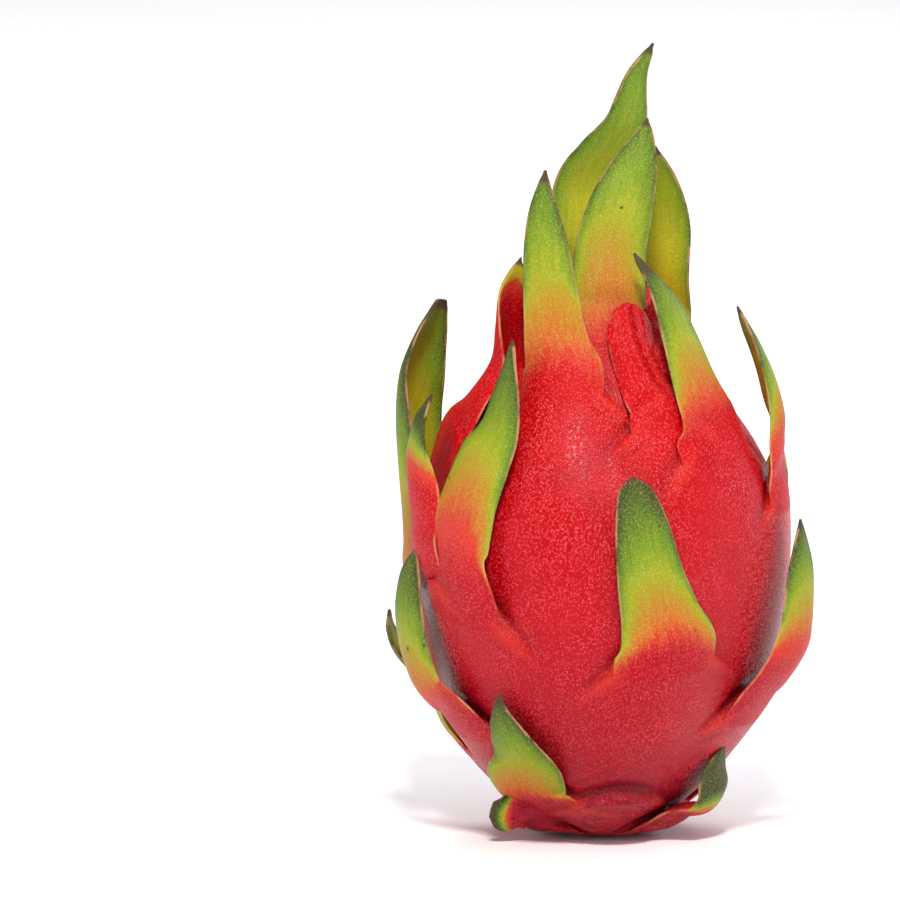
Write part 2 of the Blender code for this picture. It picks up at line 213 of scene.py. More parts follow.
def curve_through(points, steps):
    """A Catmull-Rom curve: between two points, the cubic whose slope at each is half the step from
    the point before it to the point after it."""
    middle = np.array(points, float)
    ends = (2 * middle[0] - middle[1], 2 * middle[-1] - middle[-2])
    p = np.vstack([ends[0], middle, ends[1]])
    a, b, c, d = p[:-3, None], p[1:-2, None], p[2:-1, None], p[3:, None]
    t = np.linspace(0, 1, steps, endpoint=False)[:, None]
    curve = b + 0.5 * ((c - a) * t + (2 * a - 5 * b + 4 * c - d) * t ** 2 + (3 * b - a - 3 * c + d) * t ** 3)
    return np.vstack([curve.reshape(-1, middle.shape[1]), middle[-1]])


def smooth_step(x):
    """0 below 0, 1 above 1, and 3x squared less 2x cubed between."""
    x = np.clip(x, 0, 1)
    return x * x * (3 - 2 * x)


def hump(x, breadth):
    """1 at x = 0, falling as a bell curve to about a third at the breadth."""
    return np.exp(-(x / breadth) ** 2)


def unit(vectors):
    return vectors / np.linalg.norm(vectors, axis=-1, keepdims=True)


class Outline:
    """The rind's outline by the length along it from the middle of the flat spot."""

    def __init__(self, points):
        height, radius = curve_through(points, CURVE_STEPS).T
        height = np.concatenate([[0.0], height])
        radius = np.concatenate([[0.0], np.maximum(radius, 0)])
        length = np.concatenate([[0.0], np.cumsum(np.hypot(np.diff(height), np.diff(radius)))])
        self.end = length[-1]
        self.length = np.arange(0, self.end, OUTLINE_STEP)
        self.radius = np.interp(self.length, length, radius)
        self.height = np.interp(self.length, length, height)
        slope = np.stack([np.gradient(self.radius), np.gradient(self.height)])
        blur = np.ones(2 * SLOPE_BLUR + 1) / (2 * SLOPE_BLUR + 1)
        slope = np.stack([np.convolve(np.pad(row, SLOPE_BLUR, "edge"), blur, "valid") for row in slope])
        self.along = slope / np.hypot(*slope)

    def at(self, length):
        """Radius, height, and the outward normal as its radial and upward parts."""
        parts = (self.radius, self.height, self.along[1], -self.along[0])
        return [np.interp(length, self.length, part) for part in parts]

    def length_at_height(self, height):
        top = int(np.argmax(self.height))
        return float(np.interp(height, self.height[:top], self.length[:top]))


OUTLINE = Outline(RIND_OUTLINE)


def below_root(bract, angle, length):
    """How far a point of the rind lies below the line that a bract grows from, and its share of the
    bract's half breadth: the line hangs from its middle as the 1.6th power of the distance across."""
    radius = OUTLINE.at(length)[0]
    turn = (angle - math.radians(bract.azimuth) + math.pi) % (2 * math.pi) - math.pi
    right = radius * turn
    up = length - OUTLINE.length_at_height(bract.height)
    cos, sin = math.cos(math.radians(bract.lean)), math.sin(math.radians(bract.lean))
    share = np.abs(right * cos - up * sin) / bract.half
    return root_line(bract, share) - (right * sin + up * cos), share


def root_line(bract, share):
    """The level of the line that a bract grows from, at a share of its half breadth from its middle."""
    return -ROOT_DIP * bract.half * np.minimum(share, ROOT_END) ** ROOT_POWER


def crest_height(share):
    """1 in the middle of a root, CORNER_HEIGHT at its corners, and none where its ridges end."""
    middle = 1 - (1 - CORNER_HEIGHT) * np.minimum(share, 1) ** 2
    ridge = CORNER_HEIGHT * np.clip((ROOT_REACH - share) / (ROOT_REACH - 1), 0, 1) ** 1.5
    return np.where(share < 1, middle, ridge)


def bulges(angle, length):
    """The rind's slow bulges: three waves round it and five weaker ones, which drift apart upwards."""
    return np.sin(3 * angle + 0.6 + length / 40) + 0.7 * np.sin(5 * angle + 2.1 - length / 33)


def rind_points(bracts, angle, length, own=None):
    """The rind: its outline turned round Z, lifted along its normal by the fourth root of the sum of
    the fourth powers of the bracts' swellings. A swelling rises to the root line as an exponential
    and ends there in a smooth step with a groove above it, unless it belongs to the bract own.
    Past the corners of a root, sine wrinkles run along its ridges.
    Returns points; the share of orange and painted highlight on crests and wrinkle tops; and the share of
    painted shade in grooves and wrinkle troughs."""
    radius, height, outward, upward = OUTLINE.at(length)
    total = 0.0
    groove = 0.0
    crest_and_highlight = 0.0
    wrinkle = 0.0
    for bract in bracts:
        below, share = below_root(bract, angle, length)
        strength = crest_height(share)
        rise = np.exp(-np.maximum(below, 0) / bract.run)
        if bract is own:
            above = 1 + np.clip(-below, 0, 12) / bract.run
        else:
            above = 1 - smooth_step(-below / STEP_BREADTH)
            groove = np.maximum(groove, strength * hump(below + STEP_BREADTH + GROOVE_GAP, GROOVE_BREADTH))
        total = total + (bract.thick * strength * np.where(below > 0, rise, above)) ** 4
        outside = strength * smooth_step((share - 0.6) / 0.5)
        crest_and_highlight = np.maximum(crest_and_highlight, outside * hump(below - 0.3, CREST_BREADTH))
        ripples = np.sin(2.1 * below + 2 * share)
        wrinkle = wrinkle + outside * hump(below - WRINKLE_PLACE, WRINKLE_BREADTH) * ripples
    fade = smooth_step((length - FLAT_RADIUS) / FLAT_FADE)
    fade = fade * smooth_step((OUTLINE.end - NAVEL_EDGE - length) / NAVEL_FADE)
    relief = total ** 0.25 - GROOVE_DEPTH * groove + WRINKLE_HEIGHT * wrinkle
    lift = (relief + UNEVENNESS * bulges(angle, length)) * fade
    out = radius + outward * lift
    points = np.stack([out * np.sin(angle), -out * np.cos(angle), height + upward * lift], -1)
    # bright: the crests' own orange with painted highlight on them, and painted highlight on the wrinkle
    # tops
    bright = 1.5 * np.maximum(crest_and_highlight, 0.4 * wrinkle)
    # dark: painted shade in the grooves above the roots and in the wrinkle troughs
    dark = np.maximum(groove, -0.6 * wrinkle)
    return points, bright * fade, dark * fade


def patch_points(bracts, bract, across, up):
    """Points of the rind at places given from a bract's root, with crest orange, painted highlight and
    painted shade.
    """
    cos, sin = math.cos(math.radians(bract.lean)), math.sin(math.radians(bract.lean))
    length = OUTLINE.length_at_height(bract.height) + up * cos - across * sin
    length = np.clip(length, 0.5, OUTLINE.end - 0.5)
    radius = np.maximum(OUTLINE.at(length)[0], 2.0)
    angle = math.radians(bract.azimuth) + (across * cos + up * sin) / radius
    return rind_points(bracts, angle, length, own=bract)


def root_frame(bracts, bract):
    """The middle of the root, and the directions up along the rind and out of it."""
    places = np.array([[0.0, 0.0], [0.0, 0.5], [0.0, -0.5], [0.5, 0.0], [-0.5, 0.0]])
    middle, above, below, right, left = patch_points(bracts, bract, places[:, 0], places[:, 1])[0]
    along = unit(above - below)
    across = right - left
    across = unit(across - along * (across @ along))
    return middle, along, np.cross(across, along)


class Spine:
    """The middle line of a bract's outer face, by the level above its root.

    Below the root it runs straight down, along the rind's slope there. Above, it is the smooth curve
    through the bract's stations. side and facing lie square to it and turn with the bract's twist.
    """

    def __init__(self, bracts, bract):
        middle, along, out = root_frame(bracts, bract)
        before = patch_points(bracts, bract, np.array([0.0]), np.array([-ROOT_APPROACH]))[0][0]
        stations = [(*before, bract.half), (*middle, bract.half), *bract.stations]
        curve = curve_through(stations, CURVE_STEPS)[CURVE_STEPS:]
        travelled = np.linalg.norm(np.diff(curve[:, :3], axis=0), axis=1)
        travelled = np.concatenate([[0.0], np.cumsum(travelled)])
        self.tip = travelled[-1]
        self.start = -(ROOT_DIP * bract.half + ROOT_TAIL)
        self.level = np.linspace(self.start, self.tip, BRACT_ROWS)
        self.free = np.clip(self.level, 0, None)
        self.line = np.stack([np.interp(self.free, travelled, curve[:, i]) for i in range(3)], -1)
        self.line += np.minimum(self.level, 0)[:, None] * along
        half = np.interp(self.free, travelled, curve[:, 3])
        narrowing = TIP_NARROWING * np.minimum(half, 1)
        self.half = half - narrowing * smooth_step((self.free - self.tip + TIP_LENGTH) / TIP_LENGTH)

        heading = unit(np.gradient(self.line, axis=0))
        facing = unit(out - (heading @ out)[:, None] * heading)
        side = np.cross(heading, facing)
        turn = np.radians(bract.twist) * smooth_step(self.free / self.tip)[:, None]
        self.side = np.cos(turn) * side + np.sin(turn) * facing
        self.facing = np.cos(turn) * facing - np.sin(turn) * side


def places_across():
    """Places from margin to margin, -1 to 1: 0.6 of a sine and 0.4 of a straight line, so that they
    crowd towards the margins."""
    quarter = np.linspace(-math.pi / 2, math.pi / 2, BRACT_COLUMNS)
    return 0.6 * np.sin(quarter) + 0.4 * quarter / (math.pi / 2)


def free_blade(bract, spine, offset, level, above, phase):
    """The outer face clear of the rind: arcs set square to the spine, as broad as it says.

    Their half angle is the rind's own at the root, and the bract's cup from the middle of the blade
    on. A sine wave runs along the margins, and the folds are sine ridges down the middle.
    """
    t = places_across()
    free, tip = spine.free, spine.tip
    side, facing = spine.side[:, None], spine.facing[:, None]
    root_radius = max(float(OUTLINE.at(OUTLINE.length_at_height(bract.height))[0]), 12)
    rind_cup = np.clip(spine.half / root_radius, 0, 0.8)
    bent = smooth_step(free / (0.5 * tip))
    cup = rind_cup * (1 - bent) + bract.cup * bent * (1 - 0.6 * (free / tip) ** 3)
    cup = cup[:, None]
    reach = (spine.half[:, None] / cup)[..., None]
    blade = spine.line[:, None] + reach * np.sin(cup * t)[..., None] * side
    blade = blade - reach * (1 - np.cos(cup * t))[..., None] * facing
    wave = MARGIN_WAVE * np.sin(free / WAVE_LENGTH + phase)[:, None] * np.abs(t) ** 3 * np.sign(t + 0.2)
    blade = blade + (wave * smooth_step(free / 15)[:, None])[..., None] * facing
    folds = bract.folds * np.sin(1.5 * offset + 0.12 * level) * (1 - t ** 2) * smooth_step(above / 6)
    return blade + folds[..., None] * facing


def ripeness(bract, share, t):
    """How green a bract has turned at a share of its length: from none where it stays red, at its own
    speed, and sooner towards its margins by the second and eighth powers of t."""
    ripe = bract.speed * (share - bract.red) / max(1 - bract.red, 0.4)
    return ripe + (0.16 * t ** 2 + 0.34 * t ** 8) * smooth_step((share - bract.edge) * 5)


def leaf_surface(bracts, bract, chance):
    """The outer face of a bract over the level above its root, and t from margin to margin.

    Below the root it is the rind itself, sunk a little at its lower end. Above, it leaves the rind
    within LET_GO for the free blade. It is thick in its middle and thin at its margins and tip.
    Returns points, normals, thickness, and a dictionary of the surface's own values.
    """
    spine = Spine(bracts, bract)
    t = places_across()
    half = spine.half[:, None]
    offset = half * t
    level = np.broadcast_to(spine.level[:, None], offset.shape)
    above = level - root_line(bract, np.abs(offset) / bract.half)
    held, crest_and_highlight, crease_shade = patch_points(bracts, bract, offset, level)
    loose = free_blade(bract, spine, offset, level, above, chance.uniform(0, WAVE_PHASES))
    let_go = smooth_step(above / LET_GO)
    points = held * (1 - let_go[..., None]) + loose * let_go[..., None]

    normal = unit(np.cross(np.gradient(points, axis=1), np.gradient(points, axis=0)))
    sunk = 1 - smooth_step((spine.level - spine.start) / (0.8 * ROOT_TAIL))
    points = points + normal * (PATCH_LIFT - (PATCH_LIFT + PATCH_DEPTH) * sunk)[:, None, None]
    fullness = (1 - t ** 2) * np.clip(1 - spine.free / spine.tip, 0, 1)[:, None] ** 0.8
    thickness = EDGE_THICKNESS + (bract.thick - EDGE_THICKNESS) * fullness
    thickness = np.minimum(thickness, EDGE_THICKNESS * 0.5 + half * 0.8)

    margin = smooth_step(1.5 - (1 - np.abs(t)) * half / MARGIN_BREADTH)
    drying = 2 * bract.dry
    values = {
        "ripe": ripeness(bract, above / spine.tip, t),
        # The rind's crest orange and painted highlight, and its painted shade, where the blade still lies on
        # it
        "crest_and_highlight": crest_and_highlight * (1 - let_go),
        "crease_shade": crease_shade * (1 - let_go),
        "margin": margin * smooth_step((above - 1) / 6),
        "dry": smooth_step((level - spine.tip + drying) / max(drying, 0.1)) * (bract.dry > 0),
        "across": offset,
        "along": level,
    }
    return points, normal, thickness, values


def ring_quads(rows, columns):
    """Quads between neighbouring rings of points, each ring closed on itself."""
    j = np.arange(columns)
    k = (j + 1) % columns
    row = np.arange(rows - 1)[:, None] * columns
    return np.stack([row + j, row + k, row + columns + k, row + columns + j], -1).reshape(-1, 4)


def tube_faces(rows, columns):
    """Faces round a tube of rings, with a fan onto one more point at each end."""
    first, last = rows * columns, rows * columns + 1
    j = np.arange(columns)
    k = (j + 1) % columns
    end = (rows - 1) * columns
    fans = np.concatenate([
        np.stack([np.full(columns, first), k, j], -1),
        np.stack([np.full(columns, last), end + j, end + k], -1)])
    return ring_quads(rows, columns).tolist() + fans.tolist()


def make_piece(name, points, faces, values, material):
    """A smooth mesh piece, from points in millimetres, with a value on each point for each attribute."""
    mesh = bpy.data.meshes.new(name)
    mesh.from_pydata((points * MM).tolist(), [], faces)
    mesh.update()
    mesh.shade_smooth()
    for key, numbers in values.items():
        layer = mesh.attributes.new(key, "FLOAT", "POINT")
        layer.data.foreach_set("value", np.ascontiguousarray(numbers, np.float32).ravel())
    mesh.materials.append(material)
    piece = bpy.data.objects.new(name, mesh)
    bpy.context.scene.collection.objects.link(piece)
    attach(piece, "root")
    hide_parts(FRUIT_NODE)
    return piece


def with_ends(rings, first, last):
    """Values of a tube's rings as one row, with the values of its two end points after them."""
    return np.concatenate([rings.ravel(), [first, last]])


def make_rind(bracts, material):
    """The round body as rings of points from the flat spot up to the middle of the navel."""
    angle = np.linspace(-math.pi, math.pi, RIND_COLUMNS, endpoint=False)[None]
    length = np.linspace(0, OUTLINE.end, RIND_ROWS + 2)[1:-1, None]
    rings, crest_and_highlight, crease_shade = rind_points(bracts, angle, length)
    navel = (0.0, 0.0, OUTLINE.height[-1])
    points = np.vstack([rings.reshape(-1, 3), (0.0, 0.0, 0.0), navel])
    stem = 1 - smooth_step((length - STEM_RADIUS) / STAIN_BORDER)
    scar = smooth_step((length - OUTLINE.end + SCAR_REACH) / STAIN_BORDER)
    values = {
        # Crest orange with painted highlight, and painted shade in the grooves and wrinkle troughs
        "crest_and_highlight": with_ends(crest_and_highlight, 0, 0),
        "crease_shade": with_ends(crease_shade, 0, 0),
        "stem": with_ends(np.broadcast_to(stem, crest_and_highlight.shape), 1, 0),
        "scar": with_ends(np.broadcast_to(scar, crest_and_highlight.shape), 0, 1),
    }
    return make_piece("rind", points, tube_faces(RIND_ROWS, RIND_COLUMNS), values, material)


def make_bract(bracts, bract, name, chance, material):
    """A closed leaf: its outer face, and an inner face the thickness behind it. They draw together at
    the margins as the square root of 1 less the tenth power of t."""
    outer, normal, thickness, values = leaf_surface(bracts, bract, chance)
    full = np.sqrt(np.clip(1 - np.abs(places_across()) ** 10, 0, 1))
    middle = outer - normal * (thickness / 2)[..., None]
    front = middle + normal * (thickness / 2 * full)[..., None]
    back = middle - normal * (thickness / 2 * full)[..., None]
    rings = np.concatenate([front, back[:, -2:0:-1]], axis=1)
    root, below_tip, tip = rings[0].mean(0), rings[-2].mean(0), rings[-1].mean(0)
    points = np.vstack([rings.reshape(-1, 3), root, tip + TIP_POINT * unit(tip - below_tip)])
    values["inner"] = np.zeros_like(thickness)
    row = {}
    for key, numbers in values.items():
        behind = np.ones_like(numbers) if key == "inner" else numbers
        both = np.concatenate([numbers, behind[:, -2:0:-1]], axis=1)
        row[key] = with_ends(both, both[0].mean(), both[-1].mean())
    return make_piece(name, points, tube_faces(*rings.shape[:2]), row, material)


def back_bract(azimuth, height, length, half, red):
    """A bract that follows the rind up from its root, opens a little and curls in towards its tip."""
    radius, _, outward, upward = OUTLINE.at(OUTLINE.length_at_height(height))
    start = math.atan2(outward, -upward)
    angle = math.radians(azimuth)
    shares = np.array([0.25, 0.5, 0.75, 1.0])
    breadths = half * np.array([0.86, 0.72, 0.46, 0.06])
    x = (np.arange(BACK_STEPS) + 0.5) / BACK_STEPS
    tilt = start - math.radians(BACK_OPENING) * smooth_step(x / 0.35) + math.radians(BACK_CURL) * x ** 1.4
    out = radius + BACK_LIFT + np.cumsum(np.cos(tilt)) * length / BACK_STEPS
    up = height + np.cumsum(np.sin(tilt)) * length / BACK_STEPS
    stations = []
    for share, breadth in zip(shares, breadths):
        i = int(share * BACK_STEPS) - 1
        stations.append((out[i] * math.sin(angle), -out[i] * math.cos(angle), up[i], breadth))
    return Bract(azimuth, height, half, tuple(stations), red=red)


def all_bracts():
    """The bracts seen from the front, and the rings of the back with a little chance in each."""
    bracts = dict(SEEN_BRACTS)
    chance = random.Random(SEED)
    tint = random.Random(SEED + 1)
    for height, length, half, azimuths in BACK_RINGS:
        for azimuth in azimuths:
            bract = back_bract(
                azimuth + chance.uniform(-4, 4), height + chance.uniform(-4, 4),
                length * chance.uniform(0.88, 1.12), half * chance.uniform(0.92, 1.08),
                tint.uniform(0.15, 0.4))
            bracts[f"back_{len(bracts)}"] = bract
    return bracts


def colour(code):
    """The linear colour of a six-digit sRGB code."""
    parts = [int(code[i:i + 2], 16) / 255 for i in (0, 2, 4)]
    linear = [c / 12.92 if c <= 0.04045 else ((c + 0.055) / 1.055) ** 2.4 for c in parts]
    return (*linear, 1.0)


def add(tree, kind, inputs=None, **settings):
    """A node with its settings, and with each input linked to a socket or set to a value."""
    node = tree.nodes.new(kind)
    for key, value in settings.items():
        setattr(node, key, value)
    for key, value in (inputs or {}).items():
        if isinstance(value, bpy.types.NodeSocket):
            tree.links.new(value, node.inputs[key])
        else:
            node.inputs[key].default_value = value
    return node


def math_of(tree, operation, *values):
    return add(tree, "ShaderNodeMath", dict(enumerate(values)), operation=operation).outputs[0]


def times(tree, first, second):
    return math_of(tree, "MULTIPLY", first, second)


def vector_of(tree, operation, first, second):
    return add(tree, "ShaderNodeVectorMath", {0: first, 1: second}, operation=operation).outputs[0]


def between(tree, value, low, high):
    """0 where the value is low, 1 where it is high, and smooth between."""
    sockets = {"Value": value, "From Min": low, "From Max": high}
    return add(tree, "ShaderNodeMapRange", sockets, interpolation_type="SMOOTHSTEP").outputs[0]


def rescaled(tree, value, low, high):
    """A value from 0 to 1 laid out from low to high."""
    return add(tree, "ShaderNodeMapRange", {"Value": value, "To Min": low, "To Max": high}).outputs[0]


def mixed(tree, share, first, second):
    """Two colours mixed. Sockets 0, 6 and 7 are the share and the colours."""
    sockets = {0: share, 6: first, 7: second}
    return add(tree, "ShaderNodeMix", sockets, data_type="RGBA").outputs[2]


def laid_over(tree, base, tone, mask, strength):
    """The base colour with a tone over it, as strong as the mask and the strength multiplied."""
    return mixed(tree, times(tree, mask, strength), base, tone)


def ramp(tree, value, stops):
    node = add(tree, "ShaderNodeValToRGB", {0: value})
    elements = node.color_ramp.elements
    while len(elements) < len(stops):
        elements.new(1.0)
    for element, (place, tone) in zip(elements, stops):
        element.position = place
        element.color = tone
    return node.outputs[0]


def value_of(tree, name):
    return add(tree, "ShaderNodeAttribute", attribute_name=name).outputs["Fac"]


def place_of(tree, stretch=(1, 1, 1)):
    """The point's place on the fruit in metres, squeezed along X, Y and Z by the stretch."""
    place = add(tree, "ShaderNodeTexCoord").outputs["Object"]
    return add(tree, "ShaderNodeMapping", {"Vector": place, "Scale": stretch}).outputs[0]


def noise(tree, place, scale, detail=2.0, roughness=0.5):
    """A clouded value round a half, with about as many clouds to a metre as the scale."""
    sockets = {"Vector": place, "Scale": scale, "Detail": detail, "Roughness": roughness}
    return add(tree, "ShaderNodeTexNoise", sockets).outputs["Fac"]


def noise_colour(tree, place, scale):
    """Three clouded values at once, for bending a pattern."""
    return add(tree, "ShaderNodeTexNoise", {"Vector": place, "Scale": scale}).outputs["Color"]


CRIMSON = colour("960620")
ROSE_RED = colour("a40210")
SCARLET = colour("b40006")
DEEP_RED = colour("7c0610")
CORAL = colour("e84c56")
# The crests' orange, also laid on as painted highlight
FLAME = colour("d63c28")
SHADE_RED = colour("5a060f")
BRUISE = colour("84586a")
# The foot's duller crimson, also laid on as painted shade near the floor
FOOT_CRIMSON_AND_SHADE = colour("96142a")
BLUSH = colour("dc5238")
STEM_WOOD = colour("8c7a4c")
NAVEL_BROWN = colour("6e4e30")
EDGE_TAN = colour("c99a66")
DRY_BROWN = colour("3f3224")
DRY_GREY = colour("54462e")
SPECK_YELLOW = colour("e6dc8a")
PORE_GREEN = colour("3e4a18")
PAPER_SHADE = colour("f6f6f7")
PAPER_WHITE = colour("ffffff")

# The rind's red from its foot to its crown, and a leaf from its red root to its dark green end
REDS = ((0.0, CRIMSON), (0.4, ROSE_RED), (1.0, SCARLET))
RIPENING = (
    (0.0, colour("ba361e")), (0.12, colour("b4641e")), (0.26, colour("a4801a")), (0.42, colour("8e981a")),
    (0.60, colour("688618")), (0.82, colour("486218")), (1.0, colour("363e1a")),
)
INNER_RIPENING = (
    (0.0, colour("a83c18")), (0.15, colour("b8921c")), (0.35, colour("b4b016")), (0.7, colour("6c8e1a")),
    (1.0, colour("3a5c16")),
)

# Marks on a leaf: scale and detail of their noise, where in it they start and are full, how strong
# they are, and their colour
LEAF_MARKS = (
    (2800, 1, 0.5, 0.68, 0.16, SPECK_YELLOW),
    (1500, 1.5, 0.62, 0.72, 0.22, PORE_GREEN),
    (300, 1, 0.76, 0.8, 0.8, DRY_BROWN),
)

DOTS_A_METRE = 1850.0
RUFFLES_A_METRE = 1400
RUFFLE_REACH = 0.0006
GRAIN_DEPTH = 0.0003
LIGHT_DEPTH = 0.0015


def ground_red(tree, height):
    """Crimson low down and scarlet high up, along a clouded border, with deeper patches."""
    clouds = noise(tree, place_of(tree), scale=32, detail=3, roughness=0.6)
    level = math_of(tree, "MULTIPLY_ADD", clouds, 0.07, height)
    red = ramp(tree, between(tree, level, 0.02, 0.17), REDS)
    patches = noise(tree, place_of(tree, (1, 1, 0.6)), scale=70, detail=3, roughness=0.6)
    return laid_over(tree, red, DEEP_RED, between(tree, patches, 0.5, 0.75), 0.4)


def dot_distance(tree):
    """The distance from the nearest of the skin's small dots: one to each Voronoi cell, with places
    ruffled by a fine noise so that no dot is quite round."""
    ruffle = noise_colour(tree, place_of(tree), RUFFLES_A_METRE)
    ruffle = vector_of(tree, "MULTIPLY", ruffle, (RUFFLE_REACH,) * 3)
    place = vector_of(tree, "ADD", place_of(tree, (1, 1, 0.8)), ruffle)
    sockets = {"Vector": place, "Scale": DOTS_A_METRE, "Randomness": 1.0}
    return add(tree, "ShaderNodeTexVoronoi", sockets).outputs["Distance"]


def foot_crimson_and_fold_shade(tree, red, height):
    """The red with its foot darkened in clouds, partly its own duller crimson and partly painted shade
    near the floor, and thin lines of painted shade for folds where the clouds are half dark.
    """
    foot = between(tree, height, 0.03, 0.01)
    folds = noise(tree, place_of(tree, (1, 1, 1.6)), scale=110, detail=3, roughness=0.6)
    gap = math_of(tree, "ABSOLUTE", math_of(tree, "SUBTRACT", folds, 0.5))
    fold_shade_lines = times(tree, between(tree, gap, 0.03, 0.0), foot)
    # The foot darkened in clouds: partly its own crimson, partly painted shade near the floor
    red = laid_over(tree, red, FOOT_CRIMSON_AND_SHADE, foot, between(tree, folds, 0.4, 0.8))
    # Thin lines of painted shade that stand for folds
    return laid_over(tree, red, SHADE_RED, fold_shade_lines, 0.7)


def skin_tones(tree):
    """The rind's red, dotted with coral, rubbed dull in places, darker crimson at the foot with painted
    shade and painted fold lines, orange with painted highlight along the crests, and painted shade in the
    grooves and wrinkle troughs. Returns the colour and the height of its grain."""
    height = add(tree, "ShaderNodeSeparateXYZ", {0: place_of(tree)}).outputs["Z"]
    distance = dot_distance(tree)
    density = between(tree, noise(tree, place_of(tree), scale=120), 0.3, 0.7)
    strength = math_of(tree, "MULTIPLY_ADD", density, 0.25, 0.36)
    red = laid_over(tree, ground_red(tree, height), CORAL, between(tree, distance, 0.5, 0.24), strength)
    rub = noise(tree, place_of(tree, (1, 1, 0.5)), scale=95, detail=4, roughness=0.65)
    red = laid_over(tree, red, BRUISE, between(tree, rub, 0.68, 0.82), 0.2)
    # Darker crimson low down, partly painted shade near the floor, with painted shade lines for folds
    red = foot_crimson_and_fold_shade(tree, red, height)
    # Painted shade in the grooves above the roots and in the wrinkle troughs
    red = laid_over(tree, red, SHADE_RED, value_of(tree, "crease_shade"), 0.75)
    # The crests' orange, partly their own tone and partly painted highlight, also on the wrinkle tops
    red = laid_over(tree, red, FLAME, value_of(tree, "crest_and_highlight"), 0.6)
    return red, between(tree, distance, 0.7, 0.12)


def finish_surface(tree, tone, roughness, relief, strength, scatter, gloss):
    """A waxy skin: soft gloss, a little light let in, and relief from a height pattern."""
    shader = tree.nodes["Principled BSDF"]
    bump = add(tree, "ShaderNodeBump", {"Height": relief, "Distance": GRAIN_DEPTH, "Strength": strength})
    tree.links.new(tone, shader.inputs["Base Color"])
    tree.links.new(roughness, shader.inputs["Roughness"])
    tree.links.new(bump.outputs[0], shader.inputs["Normal"])
    shader.inputs["Subsurface Weight"].default_value = scatter
    shader.inputs["Subsurface Radius"].default_value = (1.0, 0.35, 0.2)
    shader.inputs["Subsurface Scale"].default_value = LIGHT_DEPTH
    shader.inputs["Specular IOR Level"].default_value = gloss


def new_material(name):
    material = bpy.data.materials.new(name)
    material.use_nodes = True
    return material, material.node_tree


def rind_material():
    """The red skin, with the woody cut stem end below and the brown dry navel on top."""
    material, tree = new_material("red_rind")
    tone, grain = skin_tones(tree)
    fibres = noise(tree, place_of(tree), scale=600, detail=3, roughness=0.7)
    tone = mixed(tree, value_of(tree, "stem"), tone, mixed(tree, fibres, STEM_WOOD, DRY_BROWN))
    tone = mixed(tree, value_of(tree, "scar"), tone, mixed(tree, fibres, NAVEL_BROWN, DRY_BROWN))
    roughness = rescaled(tree, grain, 0.32, 0.22)
    finish_surface(tree, tone, roughness, grain, strength=0.4, scatter=0.12, gloss=0.17)
    return material


def leaf_tones(tree, place, inside, outer_stage, inner_stage):
    """The leaf's orange, yellow and green on either face, with pale specks, dark pores and dry spots."""
    leaf = mixed(tree, inside, ramp(tree, outer_stage, RIPENING), ramp(tree, inner_stage, INNER_RIPENING))
    for scale, detail, start, full, strength, tone in LEAF_MARKS:
        marks = between(tree, noise(tree, place, scale, detail), start, full)
        leaf = laid_over(tree, leaf, tone, marks, strength)
    return leaf


def dried_tip(tree, tone, place):
    """The tone, turned a dry brown towards the tip along a crumbled border."""
    crumble = noise(tree, place, scale=420, detail=3, roughness=0.7)
    border = math_of(tree, "SUBTRACT", value_of(tree, "dry"), 0.25)
    dryness = math_of(tree, "MULTIPLY_ADD", crumble, 0.5, border)
    return mixed(tree, between(tree, dryness, 0.3, 0.75), tone, mixed(tree, crumble, DRY_BROWN, DRY_GREY))


def bract_material():
    """The leaf: the rind's red at its root, warming to orange, yellow and green, in streaks along the
    blade, with worn tan margins and a dry tip. Its inner face is behind its outer one in ripening."""
    material, tree = new_material("leafy_bract")
    skin, grain = skin_tones(tree)
    place = place_of(tree)
    along = value_of(tree, "along")
    drawn_out = {0: value_of(tree, "across"), 1: times(tree, along, 0.13)}
    streak_place = add(tree, "ShaderNodeCombineXYZ", drawn_out).outputs[0]
    streaks = noise(tree, streak_place, scale=0.9, detail=3, roughness=0.6)
    clouds = noise(tree, place, scale=110, detail=3, roughness=0.6)
    clouded = math_of(tree, "MULTIPLY_ADD", clouds, 0.16, -0.25)
    shift = math_of(tree, "MULTIPLY_ADD", streaks, 0.34, clouded)
    outer_stage = math_of(tree, "ADD", value_of(tree, "ripe"), shift)
    inside = value_of(tree, "inner")
    stage = math_of(tree, "MULTIPLY_ADD", inside, -0.18, outer_stage)
    leaf = leaf_tones(tree, place, inside, outer_stage, stage)

    warmth = times(tree, between(tree, stage, -0.6, 0.0), between(tree, along, 0.0, 16.0))
    root = laid_over(tree, skin, BLUSH, warmth, 0.4)
    tone = mixed(tree, between(tree, stage, -0.12, 0.05), root, leaf)
    worn = times(tree, value_of(tree, "margin"), between(tree, noise(tree, place, scale=160), 0.35, 0.6))
    tone = laid_over(tree, tone, EDGE_TAN, worn, 0.55)
    tone = dried_tip(tree, tone, place)

    fibres = noise(tree, streak_place, scale=3.2, detail=2, roughness=0.6)
    relief = math_of(tree, "MULTIPLY_ADD", fibres, 0.6, grain)
    roughness = rescaled(tree, clouds, 0.4, 0.56)
    finish_surface(tree, tone, roughness, relief, strength=0.3, scatter=0.15, gloss=0.14)
    return material


# The backdrop in metres: its flat part, the radius of the bend up to its wall, and the wall's top
BACKDROP_FLAT = 5.0
BACKDROP_BEND = 0.8
BACKDROP_TOP = 2.0
BACKDROP_COLUMNS = 96


def paper_material():
    material, tree = new_material("white_paper")
    shader = tree.nodes["Principled BSDF"]
    tint = noise(tree, place_of(tree), scale=3)
    tree.links.new(mixed(tree, tint, PAPER_SHADE, PAPER_WHITE), shader.inputs["Base Color"])
    shader.inputs["Roughness"].default_value = 0.9
    return material


